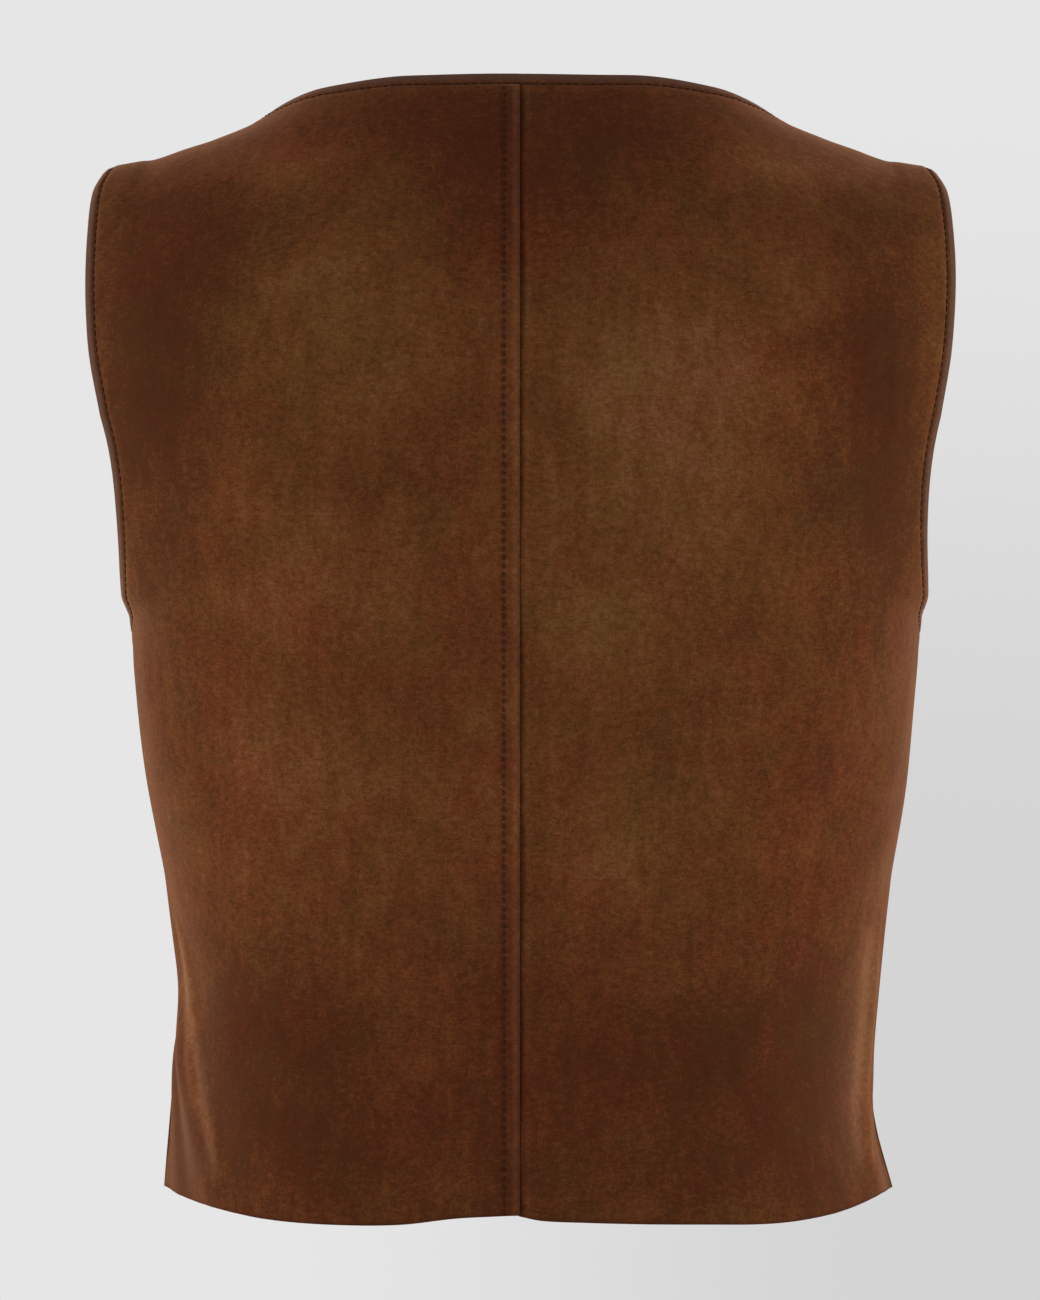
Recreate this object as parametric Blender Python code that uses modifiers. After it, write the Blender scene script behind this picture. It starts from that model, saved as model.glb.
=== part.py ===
"""Sleeveless, collarless, cropped vest in suede, filled out as if it were worn.

Metres. +Z is up, the fronts face -Y and the back faces +Y, and the wearer's left side is +X.
The origin lies between the shoulders, where a wearer carries the vest.

Two backs meet at a raised centre-back seam. Two fronts lap at the centre front, right over
left, under five buttons. The cloth is a wall lofted through the sections of the table BODY
up to the fullest level of the chest, and from there over the shoulders to a seam that lies
just in front of the ridge. Neck and armholes are cut out of that surface.
"""
import math
from collections import namedtuple

import bpy
from mathutils import Matrix, Vector

WALL = 0.0017
SEAM_GAP = 0.0003

HEM_HEIGHT = -0.500
UNDERARM_HEIGHT = -0.2255
BLADE_HEIGHT = -0.130
BUST_HEIGHT = -0.170
SHOULDER_SEAM_DEPTH = -0.008
SHOULDER_END = 0.2025
NECK_SIDE = 0.123

BACK_ARMHOLE_DEPTH = 0.060
FRONT_ARMHOLE_DEPTH = -0.062
# The armhole's edge stands off the body most just above the underarm.
ARMHOLE_FLARE = 0.0034
FLARE_FULL_HEIGHT = -0.212
FLARE_TOP_HEIGHT = -0.140
FLARE_FROM_SHARE = 0.86

# The arc over a shoulder, from the fullest level to the seam: past the ridge on the back,
# short of it on the front.
BACK_ARC = math.radians(100)
FRONT_ARC = math.radians(80)
# The share of that arc at which the neck is cut on the centre line.
BACK_NECK_CUT = 0.522
FRONT_NECK_CUT = 0.30

STRIP_WIDTH = 0.0080
STRIP_RISE = 0.0010
STRIP_SLOPE = 0.0020

LAP = 0.014
LAP_INSET = WALL + 0.0004
LAP_INSET_FROM = 0.0165
LAP_INSET_TO = 0.0245

BUTTON_RADIUS = 0.0085
BUTTON_THICKNESS = 0.0032
# The turned profile of a button, from the middle of its top round to the middle of its back,
# in shares of its radius and its thickness.
BUTTON_PROFILE = (
    (0.00, 0.62), (0.55, 0.66), (0.72, 1.00), (0.90, 1.00),
    (1.00, 0.70), (1.00, 0.30), (0.86, 0.00), (0.00, 0.00),
)
BUTTON_STEPS = 24
BUTTON_HOLE_RADIUS = 0.0010
BUTTON_HOLE_PITCH = 0.0034
BUTTON_HOLE_SIDES = 8
BUTTON_GAP = 0.0004
BUTTON_COUNT = 5
TOP_BUTTON_HEIGHT = -0.088
BUTTON_SPACING = 0.088
# The length of front, either way of a button's middle, that it lies flat against.
BUTTON_REACH = 0.004

SUEDE_ROUGHNESS = 0.9
HORN_ROUGHNESS = 0.35
HORN_COLOUR = (0.030, 0.014, 0.007)
# Edges that turn by more than these angles are shaded sharp.
PANEL_EDGE_ANGLE = math.radians(50)
BUTTON_EDGE_ANGLE = math.radians(40)

# A level section of the body: its height, its half width on the wearer's left and right, the
# depth of the back and front on the centre line, how square the back and front are across
# (2 is an ellipse), and how round the side is (2 is an ellipse, 1 comes to a corner).
Section = namedtuple("Section", "height left right back front back_square front_square side_round")
BODY = (
    Section(-0.500, 0.1728, 0.1812, 0.1030, -0.1140, 4.2, 3.4, 1.12),
    Section(-0.470, 0.1712, 0.1736, 0.1000, -0.1135, 4.0, 3.3, 1.18),
    Section(-0.440, 0.1694, 0.1710, 0.0970, -0.1130, 3.8, 3.2, 1.28),
    Section(-0.400, 0.1641, 0.1730, 0.0945, -0.1135, 3.6, 3.1, 1.45),
    Section(-0.350, 0.1718, 0.1799, 0.0965, -0.1180, 3.5, 3.0, 1.60),
    Section(-0.300, 0.1815, 0.1878, 0.1030, -0.1240, 3.4, 2.9, 1.80),
    Section(-0.250, 0.1865, 0.1922, 0.1090, -0.1280, 3.2, 2.8, 2.00),
    Section(-0.2255, 0.1885, 0.1940, 0.1115, -0.1290, 3.2, 2.8, 2.00),
    Section(-0.200, 0.1962, 0.2002, 0.1135, -0.1298, 3.1, 2.7, 2.00),
    Section(-0.170, 0.2070, 0.2092, 0.1146, -0.1300, 3.0, 2.6, 2.00),
    Section(-0.130, 0.2220, 0.2224, 0.1150, -0.1300, 2.8, 2.6, 2.00),
)

# How far the hem's cut edge hangs below its level, by the distance out from the centre line.
HemStop = namedtuple("HemStop", "out left right")
HEM = (
    HemStop(0.000, 0.0000, 0.0005),
    HemStop(0.010, 0.0004, 0.0025),
    HemStop(0.030, 0.0015, 0.0034),
    HemStop(0.055, 0.0044, 0.0041),
    HemStop(0.085, 0.0050, 0.0047),
    HemStop(0.120, 0.0042, 0.0058),
    HemStop(0.145, 0.0020, 0.0048),
    HemStop(0.160, 0.0012, 0.0030),
    HemStop(0.172, 0.0000, 0.0005),
)
HEM_DIP_TOP = -0.420

# The armhole edge above the fullest level: its height and half width on the back and front.
ArmholeStop = namedtuple("ArmholeStop", "height back front")
ARMHOLE = (
    ArmholeStop(-0.1300, 0.1985, 0.1915),
    ArmholeStop(-0.1031, 0.2034, 0.1940),
    ArmholeStop(-0.0838, 0.2053, 0.1965),
    ArmholeStop(-0.0639, 0.2064, 0.1990),
    ArmholeStop(-0.0437, 0.2065, 0.2012),
    ArmholeStop(-0.0223, 0.2055, 0.2025),
    ArmholeStop(-0.0125, 0.2025, 0.2020),
)

# The shoulder seam's height along its length, and where the same line would run on over
# the neck to the centre.
ShoulderStop = namedtuple("ShoulderStop", "out height")
SHOULDER = (
    ShoulderStop(0.0000, 0.0690),
    ShoulderStop(0.0500, 0.0593),
    ShoulderStop(0.0900, 0.0374),
    ShoulderStop(0.1230, 0.0146),
    ShoulderStop(0.1460, 0.0046),
    ShoulderStop(0.1610, -0.0003),
    ShoulderStop(0.1760, -0.0052),
    ShoulderStop(0.1840, -0.0059),
    ShoulderStop(0.1970, -0.0085),
    ShoulderStop(0.2025, -0.0125),
)

# Drape folds as soft ridges (rise above 0) or troughs (below 0). The hand is 1 on the wearer's
# left and -1 on the right. Round runs from 0 at the centre back over 1 at the side seam to 2
# at the centre front. Each fold swells and fades between its first and last end.
FOLD_GIRTH = 1.3  # distance round the body for one step of round, in half widths
Fold = namedtuple("Fold", "hand round_1 height_1 round_2 height_2 breadth rise")
FOLDS = (
    Fold(1, 1.04, -0.345, 0.55, -0.520, 0.015, 0.0042),
    Fold(1, 1.16, -0.380, 0.80, -0.540, 0.017, -0.0026),
    Fold(-1, 0.94, -0.350, 0.74, -0.530, 0.014, 0.0034),
    Fold(-1, 1.06, -0.390, 0.90, -0.545, 0.015, -0.0024),
    Fold(1, 0.80, -0.250, 0.35, -0.330, 0.026, -0.0018),
    Fold(-1, 0.85, -0.260, 0.40, -0.350, 0.026, -0.0018),
    Fold(1, 1.30, -0.330, 1.42, -0.540, 0.018, 0.0045),
    Fold(1, 1.45, -0.360, 1.58, -0.540, 0.020, -0.0035),
    Fold(-1, 1.26, -0.350, 1.36, -0.540, 0.018, 0.0042),
    Fold(-1, 1.42, -0.330, 1.52, -0.540, 0.020, -0.0035),
    Fold(1, 1.20, -0.225, 1.55, -0.290, 0.020, -0.0025),
    Fold(-1, 1.22, -0.230, 1.58, -0.300, 0.020, -0.0025),
)

HEM_ROWS = 16
ARMHOLE_ROWS = 6
SHOULDER_ROWS = 10
NECK_COLUMNS = 9
SHOULDER_COLUMNS = 8
# The share of the way round to the side at which the column of the neck's side starts out.
NECK_FAN = 0.36

# A panel: its face is 1 on the back and -1 on the front, and its columns near its inner edge
# are given by their distance out from the centre line.
Panel = namedtuple("Panel", "name face hand inner_columns lies_under colour")
PANELS = (
    Panel("back_left", 1, 1, (SEAM_GAP / 2, 0.0045, STRIP_WIDTH, STRIP_WIDTH + STRIP_SLOPE), False,
          (0.100, 0.038, 0.014)),
    Panel("back_right", 1, -1, (SEAM_GAP / 2, 0.0045, 0.010), False, (0.104, 0.040, 0.015)),
    Panel("front_left", -1, 1, (-LAP, -0.004, 0.006, LAP_INSET_FROM, LAP_INSET_TO), True,
          (0.096, 0.036, 0.013)),
    Panel("front_right", -1, -1, (-LAP, -0.007, 0.004, 0.015), False, (0.098, 0.037, 0.014)),
)
# A column lies at base + (edge - base) * share, so share 0 keeps its distance from the centre.
# Its share runs from low, at the fullest level and below, to top, at the neck or shoulder.
Column = namedtuple("Column", "base low top")


def lookup(table, at, name):
    """Read a named column of a table at a first-column value, on a smooth curve."""
    places = [row[0] for row in table]
    values = [getattr(row, name) for row in table]
    if places[0] > places[-1]:
        places.reverse()
        values.reverse()
    at = min(max(at, places[0]), places[-1])
    last = len(places) - 1
    slopes = []
    for i in range(last + 1):
        before = max(i - 1, 0)
        after = min(i + 1, last)
        slopes.append((values[after] - values[before]) / (places[after] - places[before]))
    i = 0
    while i < last - 1 and at > places[i + 1]:
        i += 1
    step = places[i + 1] - places[i]
    t = (at - places[i]) / step
    return (values[i] * (1 + 2 * t) * (1 - t) ** 2 + slopes[i] * step * t * (1 - t) ** 2
            + values[i + 1] * t * t * (3 - 2 * t) - slopes[i + 1] * step * t * t * (1 - t))


def smooth_step(value, low, high):
    """Rise from 0 at low to 1 at high, level at both ends."""
    t = min(max((value - low) / (high - low), 0.0), 1.0)
    return t * t * (3 - 2 * t)


def face_name(face):
    return "back" if face > 0 else "front"


def fullest_height(face):
    return BLADE_HEIGHT if face > 0 else BUST_HEIGHT


def side_width(hand, height):
    return lookup(BODY, height, "left" if hand > 0 else "right")


def section_depth(face, hand, out, height):
    """Depth of the body's level section, out metres from the centre line."""
    centre = lookup(BODY, height, face_name(face))
    side = face * SEAM_GAP / 2
    share = min(abs(out) / side_width(hand, height), 1.0)
    square = lookup(BODY, height, face_name(face) + "_square")
    roundness = lookup(BODY, height, "side_round")
    return side + (centre - side) * (1 - share ** square) ** (1 / roundness)


def edge_width(face, hand, height):
    """Half width at the side seam or, above the underarm, at the armhole edge."""
    width = side_width(hand, height)
    if height <= UNDERARM_HEIGHT:
        return width
    full = fullest_height(face)
    climb = min((full - height) / (full - UNDERARM_HEIGHT), 1.0)
    deepest = BACK_ARMHOLE_DEPTH if face > 0 else FRONT_ARMHOLE_DEPTH
    ratio = deepest * math.sqrt(1 - climb ** 2) / lookup(BODY, height, face_name(face))
    square = lookup(BODY, height, face_name(face) + "_square")
    return width * (1 - ratio ** lookup(BODY, height, "side_round")) ** (1 / square)


def place(base, share, edge):
    return base + (edge - base) * share


def body_point(face, hand, base, share, height):
    out = place(base, share, edge_width(face, hand, height))
    return Vector((hand * out, section_depth(face, hand, out, height), height))


def shoulder_point(face, hand, base, share, turn):
    """Point on the arc that runs from the fullest level over to the shoulder seam."""
    full = fullest_height(face)
    arc = BACK_ARC if face > 0 else FRONT_ARC
    rise = math.sin(arc * turn) / math.sin(arc)
    lean = (1 - math.cos(arc * turn)) / (1 - math.cos(arc))
    first_edge = edge_width(face, hand, full)
    tip_height = lookup(SHOULDER, SHOULDER_END, "height")
    edge = lookup(ARMHOLE, full + (tip_height - full) * rise, face_name(face))
    edge += (first_edge - lookup(ARMHOLE, full, face_name(face))) * (1 - turn) ** 2
    seam_height = lookup(SHOULDER, abs(place(base, share, SHOULDER_END)), "height")
    first_depth = section_depth(face, hand, place(base, share, first_edge), full)
    seam_depth = SHOULDER_SEAM_DEPTH + face * SEAM_GAP / 2
    return Vector((hand * place(base, share, edge),
                   first_depth + (seam_depth - first_depth) * lean,
                   full + (seam_height - full) * rise))


def neck_turn(face, column):
    """Share of the shoulder arc at which a column ends: all of it beside the neck."""
    out = abs(place(column.base, column.top, SHOULDER_END))
    if out > NECK_SIDE - 1e-6:
        return 1.0
    cut = BACK_NECK_CUT if face > 0 else FRONT_NECK_CUT
    return 1 - (1 - cut) * math.sqrt(1 - (out / NECK_SIDE) ** 2)


def share_at(column, row):
    climb = max(row - HEM_ROWS - ARMHOLE_ROWS, 0) / SHOULDER_ROWS
    return column.low + (column.top - column.low) * climb ** 2


def base_point(panel, column, row):
    """Point of the plain body surface in a column, counted in rows up from the hem."""
    full = fullest_height(panel.face)
    share = share_at(column, row)
    if row <= HEM_ROWS:
        height = HEM_HEIGHT + (UNDERARM_HEIGHT - HEM_HEIGHT) * row / HEM_ROWS
        point = body_point(panel.face, panel.hand, column.base, share, height)
        dip = lookup(HEM, abs(point.x), "left" if panel.hand > 0 else "right")
        point.z -= dip * (1 - smooth_step(height, HEM_HEIGHT, HEM_DIP_TOP))
        return point
    if row <= HEM_ROWS + ARMHOLE_ROWS:
        climb = (row - HEM_ROWS) / ARMHOLE_ROWS
        at_edge = 1 - math.cos(climb * math.pi / 2)
        climb += (at_edge - climb) * share ** 3
        height = UNDERARM_HEIGHT + (full - UNDERARM_HEIGHT) * climb
        return body_point(panel.face, panel.hand, column.base, share, height)
    turn = (row - HEM_ROWS - ARMHOLE_ROWS) / SHOULDER_ROWS * neck_turn(panel.face, column)
    return shoulder_point(panel.face, panel.hand, column.base, share, turn)


def panel_columns(panel):
    """Columns out from the inner edge. They spread so that one ends at the side of the neck."""
    inner = panel.inner_columns[-1]
    reach = SHOULDER_END - inner
    neck_share = (NECK_SIDE - inner) / reach
    first_angle = math.asin(inner / NECK_SIDE)
    columns = [Column(distance, 0.0, 0.0) for distance in panel.inner_columns]
    for i in range(1, NECK_COLUMNS + 1):
        part_way = i / NECK_COLUMNS
        angle = first_angle + (math.pi / 2 - first_angle) * part_way
        top = (NECK_SIDE * math.sin(angle) - inner) / reach
        columns.append(Column(inner, math.sin(NECK_FAN * part_way * math.pi / 2), top))
    for i in range(1, SHOULDER_COLUMNS + 1):
        part_way = i / SHOULDER_COLUMNS
        low = math.sin((NECK_FAN + (1 - NECK_FAN) * part_way) * math.pi / 2)
        columns.append(Column(inner, low, neck_share + (1 - neck_share) * part_way))
    return columns


def seam_axes(panel, columns, row, at):
    """Axes square to the seams that a point lies on. Its wall runs level with those seams."""
    axes = []
    top = HEM_ROWS + ARMHOLE_ROWS + SHOULDER_ROWS
    if panel.face > 0 and at == 0:
        axes.append(0)
    if at == len(columns) - 1 and row <= HEM_ROWS:
        axes.append(1)
    if row == top and neck_turn(panel.face, columns[at]) == 1.0:
        axes.append(1)
    return axes


def outward_normals(panel, columns, grid):
    normals = []
    for row, line in enumerate(grid):
        row_normals = []
        for at in range(len(line)):
            up = grid[min(row + 1, len(grid) - 1)][at] - grid[max(row - 1, 0)][at]
            across = line[min(at + 1, len(line) - 1)] - line[max(at - 1, 0)]
            normal = up.cross(across) * panel.hand * panel.face
            for axis in seam_axes(panel, columns, row, at):
                normal[axis] = 0.0
            row_normals.append(normal.normalized())
        normals.append(row_normals)
    return normals


def fold_rise(panel, share, point):
    """Sum of the drape folds at a point of the body."""
    total = 0.0
    around = 2 / math.pi * math.asin(share)
    if panel.face < 0:
        around = 2 - around
    for fold in FOLDS:
        if fold.hand != panel.hand or not fold.height_2 < point.z < fold.height_1:
            continue
        down = (fold.height_1 - point.z) / (fold.height_1 - fold.height_2)
        middle = fold.round_1 + (fold.round_2 - fold.round_1) * down
        away = (around - middle) * side_width(panel.hand, point.z) * FOLD_GIRTH
        total += fold.rise * math.sin(math.pi * down) * math.exp(-(away / fold.breadth) ** 2)
    return total


def armhole_flare(share, height):
    near_edge = smooth_step(share, FLARE_FROM_SHARE, 1.0)
    above_underarm = smooth_step(height, UNDERARM_HEIGHT, FLARE_FULL_HEIGHT)
    below_top = 1 - smooth_step(height, FLARE_FULL_HEIGHT, FLARE_TOP_HEIGHT)
    return ARMHOLE_FLARE * near_edge * above_underarm * below_top


def surface_rise(panel, share, point):
    """How far the outer face stands off the plain body at a point."""
    out = point.x * panel.hand
    rise = fold_rise(panel, share, point) + armhole_flare(share, point.z)
    if panel.name == "back_left":
        rise += STRIP_RISE * (1 - smooth_step(out, STRIP_WIDTH, STRIP_WIDTH + STRIP_SLOPE))
    if panel.lies_under:
        rise -= LAP_INSET * (1 - smooth_step(out, LAP_INSET_FROM, LAP_INSET_TO))
    return rise


def wall_depth(panel, point):
    """Thickness of the wall: doubled up under the raised strip of the centre-back seam."""
    if panel.name != "back_left":
        return WALL
    return WALL + STRIP_RISE * (1 - smooth_step(point.x, STRIP_WIDTH, STRIP_WIDTH + STRIP_SLOPE))


def outer_grid(panel, columns):
    rows = range(HEM_ROWS + ARMHOLE_ROWS + SHOULDER_ROWS + 1)
    grid = [[base_point(panel, column, row) for column in columns] for row in rows]
    normals = outward_normals(panel, columns, grid)
    return [[point + normal * surface_rise(panel, share_at(column, row), point)
             for point, normal, column in zip(grid[row], normals[row], columns)]
            for row in rows]


def wall_mesh(panel):
    """A closed wall: the outer face, the inner face and the rim between them."""
    columns = panel_columns(panel)
    outer = outer_grid(panel, columns)
    normals = outward_normals(panel, columns, outer)
    count = len(outer) * len(columns)
    points = [point for line in outer for point in line]
    for line, line_normals in zip(outer, normals):
        for point, normal in zip(line, line_normals):
            points.append(point - normal * wall_depth(panel, point))
    last_row = len(outer) - 1
    last_column = len(columns) - 1

    def index(row, at):
        return row * len(columns) + at

    faces = []
    for row in range(last_row):
        for at in range(last_column):
            quad = [index(row, at), index(row + 1, at), index(row + 1, at + 1), index(row, at + 1)]
            first_cut = (points[quad[0]] - points[quad[2]]).length
            second_cut = (points[quad[1]] - points[quad[3]]).length
            if first_cut > second_cut:
                quad = quad[1:] + quad[:1]
            for triangle in (quad[:3], [quad[0], quad[2], quad[3]]):
                faces.append(triangle)
                faces.append([corner + count for corner in reversed(triangle)])
    rim = [index(row, 0) for row in range(last_row)]
    rim += [index(last_row, at) for at in range(last_column)]
    rim += [index(row, last_column) for row in range(last_row, 0, -1)]
    rim += [index(0, at) for at in range(last_column, 0, -1)]
    for first, second in zip(rim, rim[1:] + rim[:1]):
        faces.append([second, first, first + count, second + count])
    if panel.hand * panel.face < 0:
        faces = [list(reversed(face)) for face in faces]
    mesh = bpy.data.meshes.new(panel.name)
    mesh.from_pydata(points, [], faces)
    mesh.shade_smooth()
    mesh.set_sharp_from_angle(angle=PANEL_EDGE_ANGLE)
    return mesh


def plain_material(name, colour, roughness):
    material = bpy.data.materials.new(name)
    material.use_nodes = True
    shader = material.node_tree.nodes["Principled BSDF"]
    shader.inputs["Base Color"].default_value = (*colour, 1.0)
    shader.inputs["Roughness"].default_value = roughness
    shader.inputs["Metallic"].default_value = 0.0
    return material


def button_mesh(scratch):
    """A turned disc with a raised rim and a dished middle, cut by four thread holes."""
    points = [(out * BUTTON_RADIUS, 0.0, up * BUTTON_THICKNESS) for out, up in BUTTON_PROFILE]
    line = bpy.data.meshes.new("button_profile")
    line.from_pydata(points, [(i, i + 1) for i in range(len(points) - 1)], [])
    turned = bpy.data.objects.new("button_profile", line)
    scratch.objects.link(turned)
    screw = turned.modifiers.new("turn", "SCREW")
    screw.steps = BUTTON_STEPS
    screw.render_steps = BUTTON_STEPS
    screw.use_merge_vertices = True
    screw.merge_threshold = 0.00005
    drill = []
    for side_x in (-1, 1):
        for side_y in (-1, 1):
            bpy.ops.mesh.primitive_cylinder_add(
                vertices=BUTTON_HOLE_SIDES,
                radius=BUTTON_HOLE_RADIUS,
                depth=BUTTON_THICKNESS * 2,
                location=(side_x * BUTTON_HOLE_PITCH / 2, side_y * BUTTON_HOLE_PITCH / 2,
                          BUTTON_THICKNESS / 2))
            cutter = bpy.context.object
            cutter.name = "thread_hole_cutter_%d" % (len(drill) + 1)
            cutter.hide_render = True
            cutter.display_type = "WIRE"
            for holder in list(cutter.users_collection):
                holder.objects.unlink(cutter)
            scratch.objects.link(cutter)
            cut = turned.modifiers.new("thread_hole", "BOOLEAN")
            cut.operation = "DIFFERENCE"
            cut.object = cutter
            drill.append(cutter)
    bpy.context.view_layer.update()
    evaluated = turned.evaluated_get(bpy.context.evaluated_depsgraph_get())
    mesh = bpy.data.meshes.new_from_object(evaluated)
    mesh.name = "button"
    mesh.shade_smooth()
    mesh.set_sharp_from_angle(angle=BUTTON_EDGE_ANGLE)
    for used in drill + [turned]:
        bpy.data.objects.remove(used)
    return mesh


def build_panels(parts):
    for panel in PANELS:
        piece = bpy.data.objects.new(panel.name, wall_mesh(panel))
        piece.data.materials.append(plain_material("suede_" + panel.name, panel.colour,
                                                    SUEDE_ROUGHNESS))
        parts.objects.link(piece)


def build_buttons(parts, scratch):
    """Buttons on the centre line of the upper front, a hair off its outer face."""
    mesh = button_mesh(scratch)
    mesh.materials.append(plain_material("brown_horn", HORN_COLOUR, HORN_ROUGHNESS))
    for number in range(BUTTON_COUNT):
        height = TOP_BUTTON_HEIGHT - number * BUTTON_SPACING
        below, above = (front_centre(height + step) for step in (-BUTTON_REACH, BUTTON_REACH))
        up = (above - below).normalized()
        outward = Vector((1, 0, 0)).cross(up)
        seat = front_centre(height) + outward * BUTTON_GAP
        turn = Matrix((Vector((1, 0, 0)), up, outward)).transposed().to_4x4()
        button = bpy.data.objects.new("button_%d" % (number + 1), mesh)
        button.matrix_world = Matrix.Translation(seat) @ turn
        parts.objects.link(button)


def front_centre(height):
    """Point of the front's outer face on the centre line."""
    if height <= BUST_HEIGHT:
        return body_point(-1, -1, 0.0, 0.0, height)
    seam_height = lookup(SHOULDER, 0.0, "height")
    climb = (height - BUST_HEIGHT) / (seam_height - BUST_HEIGHT)
    return shoulder_point(-1, -1, 0.0, 0.0, math.asin(climb * math.sin(FRONT_ARC)) / FRONT_ARC)


def build():
    for used in list(bpy.data.objects):
        bpy.data.objects.remove(used)
    parts = bpy.data.collections.new("suede_vest")
    scratch = bpy.data.collections.new("cutters")
    bpy.context.scene.collection.children.link(parts)
    bpy.context.scene.collection.children.link(scratch)
    build_panels(parts)
    build_buttons(parts, scratch)


build()
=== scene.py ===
"""Looks of a sleeveless, collarless, cropped vest in brown suede, seen from the back.

Metres. +Z is up, the back faces +Y and the fronts face -Y, and the wearer's left side is +X.
The origin lies between the shoulders. The vest is filled out as if it were worn.
"""
import math
from collections import namedtuple

import bmesh
import bpy
import numpy as np
from mathutils import Matrix, Vector
from mathutils.bvhtree import BVHTree
from mathutils.kdtree import KDTree


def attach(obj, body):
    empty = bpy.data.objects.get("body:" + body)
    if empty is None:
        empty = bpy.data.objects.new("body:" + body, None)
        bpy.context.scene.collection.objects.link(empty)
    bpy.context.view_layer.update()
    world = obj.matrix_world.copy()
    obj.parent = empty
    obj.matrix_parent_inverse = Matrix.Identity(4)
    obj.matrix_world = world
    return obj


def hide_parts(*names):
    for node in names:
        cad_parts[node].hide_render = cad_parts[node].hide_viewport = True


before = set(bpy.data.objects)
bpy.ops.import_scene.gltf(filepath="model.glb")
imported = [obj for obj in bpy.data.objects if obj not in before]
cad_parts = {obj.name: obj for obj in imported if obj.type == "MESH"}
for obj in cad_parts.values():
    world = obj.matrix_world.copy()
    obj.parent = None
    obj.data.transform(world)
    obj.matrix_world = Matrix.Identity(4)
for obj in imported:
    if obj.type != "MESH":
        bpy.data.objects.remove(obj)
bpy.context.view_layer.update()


def rows_of(columns, plain, rows):
    """Rows under named columns. All but the plain ones are lengths, given in millimetres."""
    Row = namedtuple("Row", columns)
    parts = [1 if column in plain.split() else 1000 for column in Row._fields]
    return [Row(*(value / part for value, part in zip(row, parts))) for row in rows]


def lengths_of(*millimetres):
    return np.array(millimetres) / 1000


# The form that the vest is filled out to.
# Level sections of the body up to the fullest part of the chest, then arcs over the shoulders.
# Neck and armholes are cut out of that surface, and the hem dips a little each side of the back.
BODY = rows_of("height left right back front back_square front_square side_round",
               "back_square front_square side_round", (
    (-500, 172.8, 181.2, 103, -114, 4.2, 3.4, 1.12),
    (-470, 171.2, 173.6, 100, -113.5, 4, 3.3, 1.18),
    (-440, 169.4, 171, 97, -113, 3.8, 3.2, 1.28),
    (-400, 164.1, 173, 94.5, -113.5, 3.6, 3.1, 1.45),
    (-350, 171.8, 179.9, 96.5, -118, 3.5, 3, 1.6),
    (-300, 181.5, 187.8, 103, -124, 3.4, 2.9, 1.8),
    (-250, 186.5, 192.2, 109, -128, 3.2, 2.8, 2),
    (-225.5, 188.5, 194, 111.5, -129, 3.2, 2.8, 2),
    (-200, 196.2, 200.2, 113.5, -129.8, 3.1, 2.7, 2),
    (-170, 207, 209.2, 114.6, -130, 3, 2.6, 2),
    (-130, 222, 222.4, 115, -130, 2.8, 2.6, 2),
))
HEM = rows_of("out left right", "", (
    (0, 0, 0.5), (10, 0.4, 2.5), (30, 1.5, 3.4), (55, 4.4, 4.1),
    (85, 5, 4.7), (120, 4.2, 5.8), (145, 2, 4.8), (160, 1.2, 3),
    (172, 0, 0.5),
))
ARMHOLE = rows_of("height back front", "", (
    (-130, 198.5, 191.5), (-103.1, 203.4, 194), (-83.8, 205.3, 196.5), (-63.9, 206.4, 199),
    (-43.7, 206.5, 201.2), (-22.3, 205.5, 202.5), (-12.5, 202.5, 202),
))
SHOULDER = rows_of("out height", "", (
    (-50, 59.3), (0, 69), (50, 59.3), (90, 37.4), (123, 14.6), (146, 4.6),
    (161, -0.3), (176, -5.2), (184, -5.9), (197, -8.5), (202.5, -12.5),
))
HEM_HEIGHT = -0.500
HEM_DIP_TOP = -0.420
UNDERARM_HEIGHT = -0.2255
SHOULDER_SEAM_DEPTH = -0.008
SHOULDER_END = 0.2025
NECK_SIDE = 0.123
NECK_FAN = 0.36
SEAM_GAP = 0.00006
CUT_SHORT = 0.6  # slope of the right back's hem where it runs on under the lap
# Of the back (1) and the front (-1): the height of the fullest level, how deep the neck is cut,
# the arc over the shoulder, and the depth of the armhole's edge at the fullest level.
Face = namedtuple("Face", "name full neck_cut arc armhole_depth")
FACES = {1: Face("back", -0.130, 0.522, math.radians(100), 0.060),
         -1: Face("front", -0.170, 0.300, math.radians(80), -0.062)}


def read_column(rows, at, name):
    """Read a named column of a table at first-column values, on a smooth curve."""
    places = np.array([row[0] for row in rows])
    values = np.array([getattr(row, name) for row in rows])
    low = np.clip(np.arange(len(rows)) - 1, 0, None)
    high = np.clip(np.arange(len(rows)) + 1, None, len(rows) - 1)
    slopes = (values[high] - values[low]) / (places[high] - places[low])
    at = np.clip(at, places[0], places[-1])
    i = np.clip(np.searchsorted(places, at, side="right") - 1, 0, len(rows) - 2)
    step = places[i + 1] - places[i]
    t = (at - places[i]) / step
    return (values[i] * (1 + 2 * t) * (1 - t) ** 2 + slopes[i] * step * t * (1 - t) ** 2
            + values[i + 1] * t * t * (3 - 2 * t) - slopes[i + 1] * step * t * t * (1 - t))


def smooth_step(value, low, high):
    """Rise from 0 at low to 1 at high, level at both ends."""
    t = np.clip((value - low) / (high - low), 0.0, 1.0)
    return t * t * (3 - 2 * t)


def hump(away, breadth):
    """1 in the middle, falling off softly over a breadth to either side."""
    return np.exp(-(away / breadth) ** 2)


def side_width(hand, height):
    return read_column(BODY, height, "left" if hand > 0 else "right")


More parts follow.
